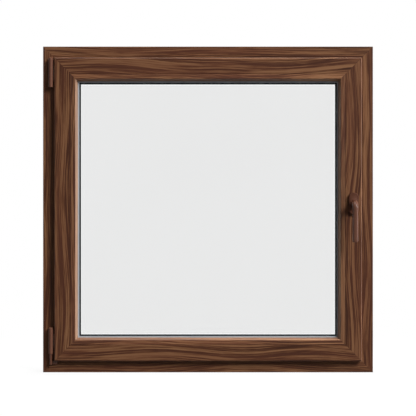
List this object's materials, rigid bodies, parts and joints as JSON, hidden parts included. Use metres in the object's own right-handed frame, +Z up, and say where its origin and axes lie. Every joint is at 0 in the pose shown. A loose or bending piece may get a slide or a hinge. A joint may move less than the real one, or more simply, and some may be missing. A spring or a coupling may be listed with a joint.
{
  "type": "tilt-and-turn window",
  "caption": "Square single-sash window of mitred hollow plastic profile with wood-grain foil, double glazing, side hinges and a turning lever handle.",
  "frame": {"origin": "underside of the sill, at the middle of its length and of the frame's depth", "axes": "+X to the handle side as seen from the room, +Y from the room to the outside, +Z up"},
  "size_m": [1.04, 0.1517, 1.027],
  "materials": {
    "walnut_foil": "embossed walnut wood-grain foil on plastic",
    "black_rubber": "matt extruded rubber",
    "grey_rubber": "matt grey extruded rubber",
    "clear_glass": "clear float glass",
    "bronze_paint": "semi-gloss brown powder coat",
    "brown_cap": "satin brown moulded plastic",
    "zinc_steel": "zinc-plated steel",
    "spacer_bar": "satin grey spacer bar",
    "edge_sealant": "black sealant",
    "packer_plastic": "moulded packer"
  },
  "bodies": {
    "window": {"frame_sill": "walnut_foil", "frame_hinge_jamb": "walnut_foil", "frame_head": "walnut_foil", "frame_lock_jamb": "walnut_foil", "sash_bottom_rail": "walnut_foil", "sash_hinge_stile": "walnut_foil", "sash_top_rail": "walnut_foil", "sash_handle_stile": "walnut_foil", "bead_bottom": "walnut_foil", "bead_hinge_side": "walnut_foil", "bead_top": "walnut_foil", "bead_handle_side": "walnut_foil", "lap_gasket": "black_rubber", "lip_gasket": "black_rubber", "outer_glazing_gasket": "black_rubber", "outer_pane": "clear_glass", "inner_pane": "clear_glass", "handle_rosette": "bronze_paint", "bottom_hinge_bracket": "bronze_paint", "top_hinge_leaf": "bronze_paint", "bottom_hinge_leaf": "bronze_paint", "top_hinge_cover": "brown_cap", "bottom_hinge_cover": "brown_cap", "drain_caps": "brown_cap", "top_hinge_bracket": "zinc_steel", "bottom_hinge_barrel": "zinc_steel", "inner_glazing_gasket": "grey_rubber", "glass_spacer": "spacer_bar", "glass_edge_seal": "edge_sealant", "setting_blocks": "packer_plastic"},
    "handle": {"handle_lever": "bronze_paint", "handle_spindle": "zinc_steel"}
  },
  "joints": [
    {"name": "handle_turn", "type": "hinge", "parent": "window", "child": "handle", "pos_m": [0.4565, -0.055, 0.532], "axis": [0, 1, 0], "range_deg": [0, 180]}
  ]
}
